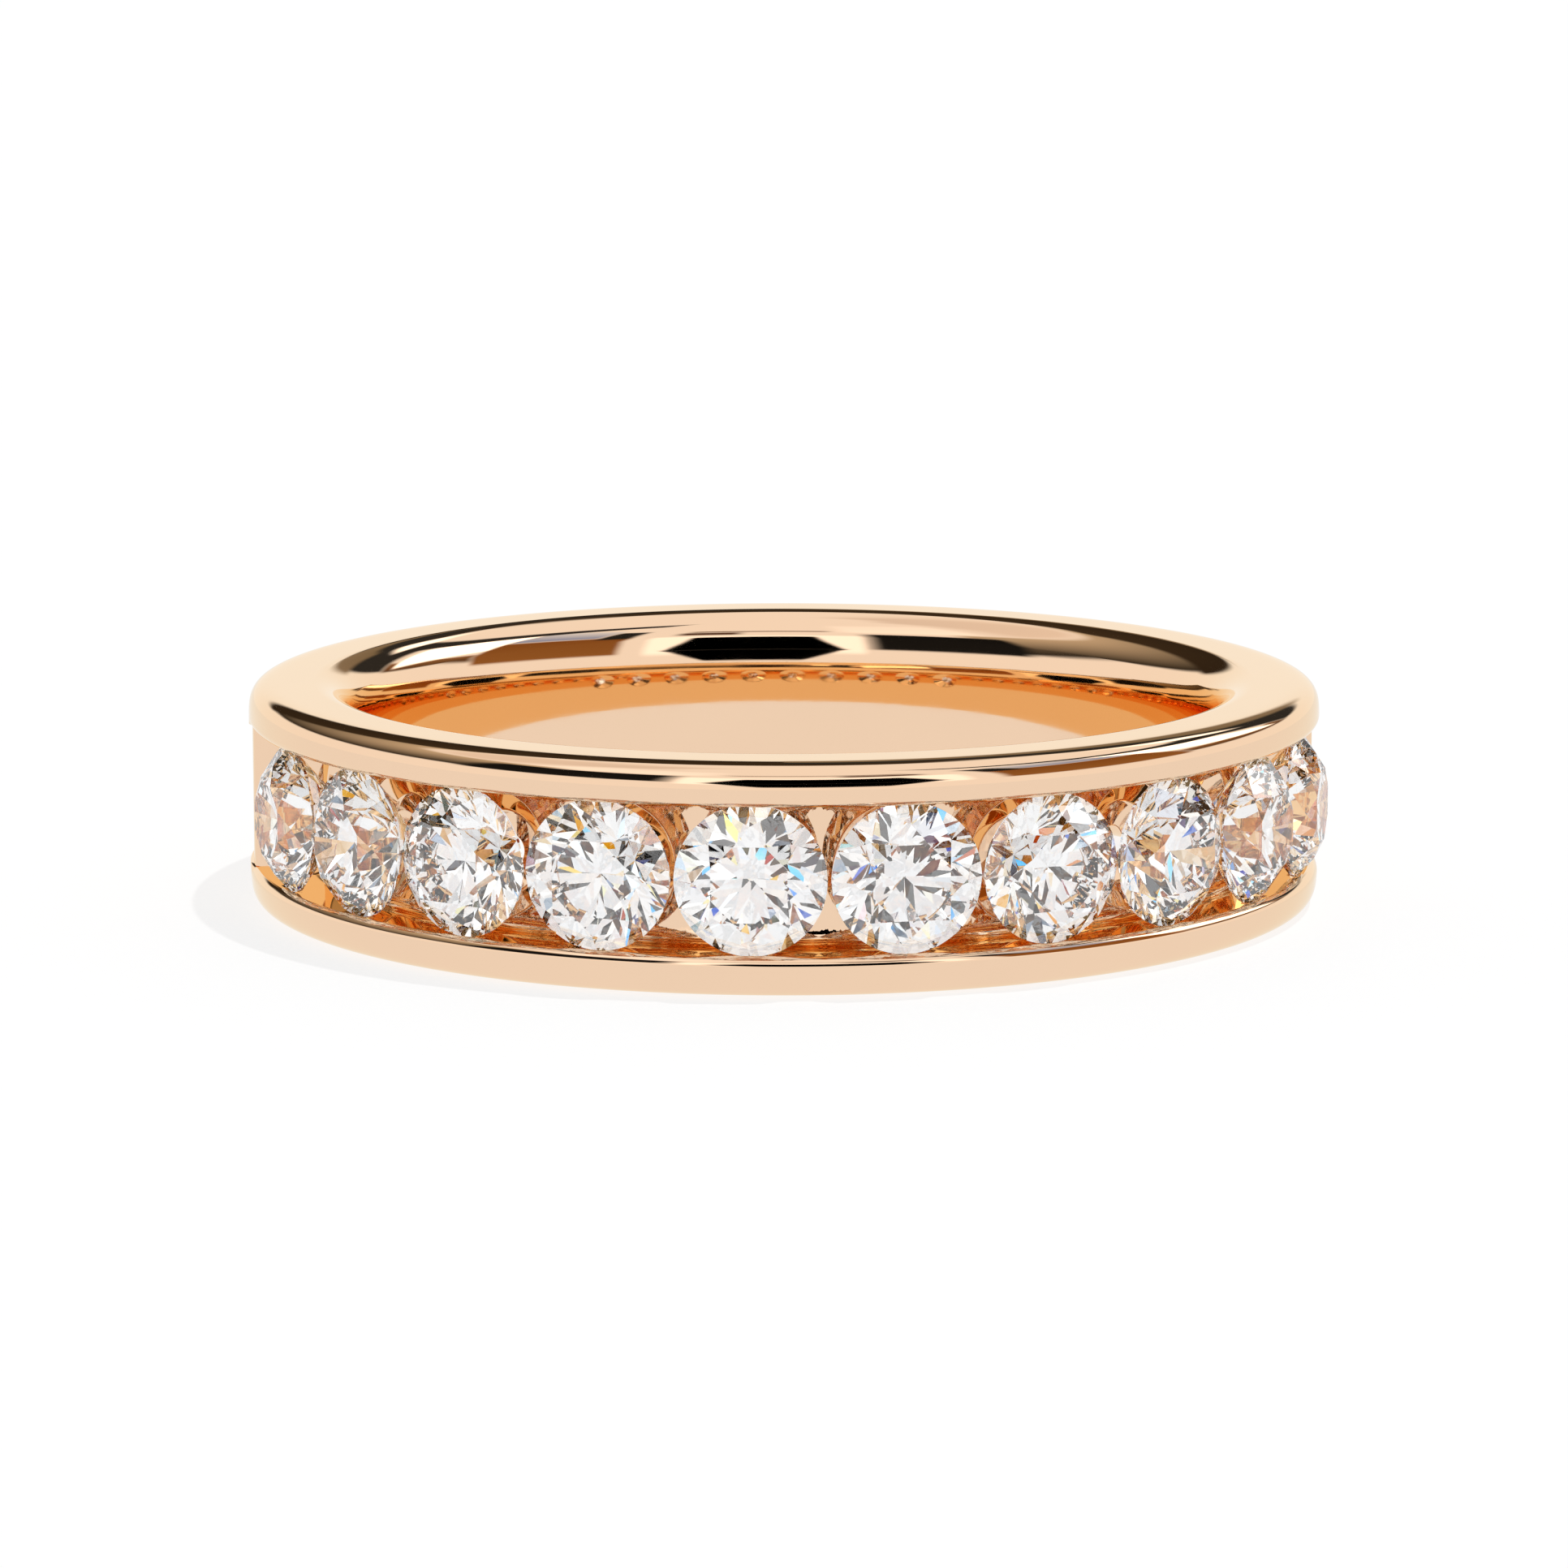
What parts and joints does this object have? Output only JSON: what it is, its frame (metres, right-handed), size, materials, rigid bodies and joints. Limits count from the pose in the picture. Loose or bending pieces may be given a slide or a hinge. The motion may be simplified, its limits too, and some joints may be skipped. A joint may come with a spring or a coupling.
{
  "type": "wedding band",
  "caption": "Half-eternity finger ring: a flat-sided, comfort-fit rose-gold band with a row of round brilliants channel-set between two rails across its front.",
  "frame": {"origin": "centre of the finger hole, in the plane of the lower side face, which is the face the ring lies on", "axes": "+Z along the finger, out of the upper side face; -Y towards the middle of the row of stones; +X to the right of someone facing the stones"},
  "size_m": [0.0218, 0.0219, 0.0044],
  "materials": {
    "rose_gold": "high polish",
    "diamond": "polished facets"
  },
  "bodies": {
    "root": {"shank": "rose_gold", "upper_rail": "rose_gold", "lower_rail": "rose_gold", "gallery": "rose_gold", "diamond_01": "diamond", "diamond_02": "diamond", "diamond_03": "diamond", "diamond_04": "diamond", "diamond_05": "diamond", "diamond_06": "diamond", "diamond_07": "diamond", "diamond_08": "diamond", "diamond_09": "diamond", "diamond_10": "diamond"}
  },
  "joints": []
}
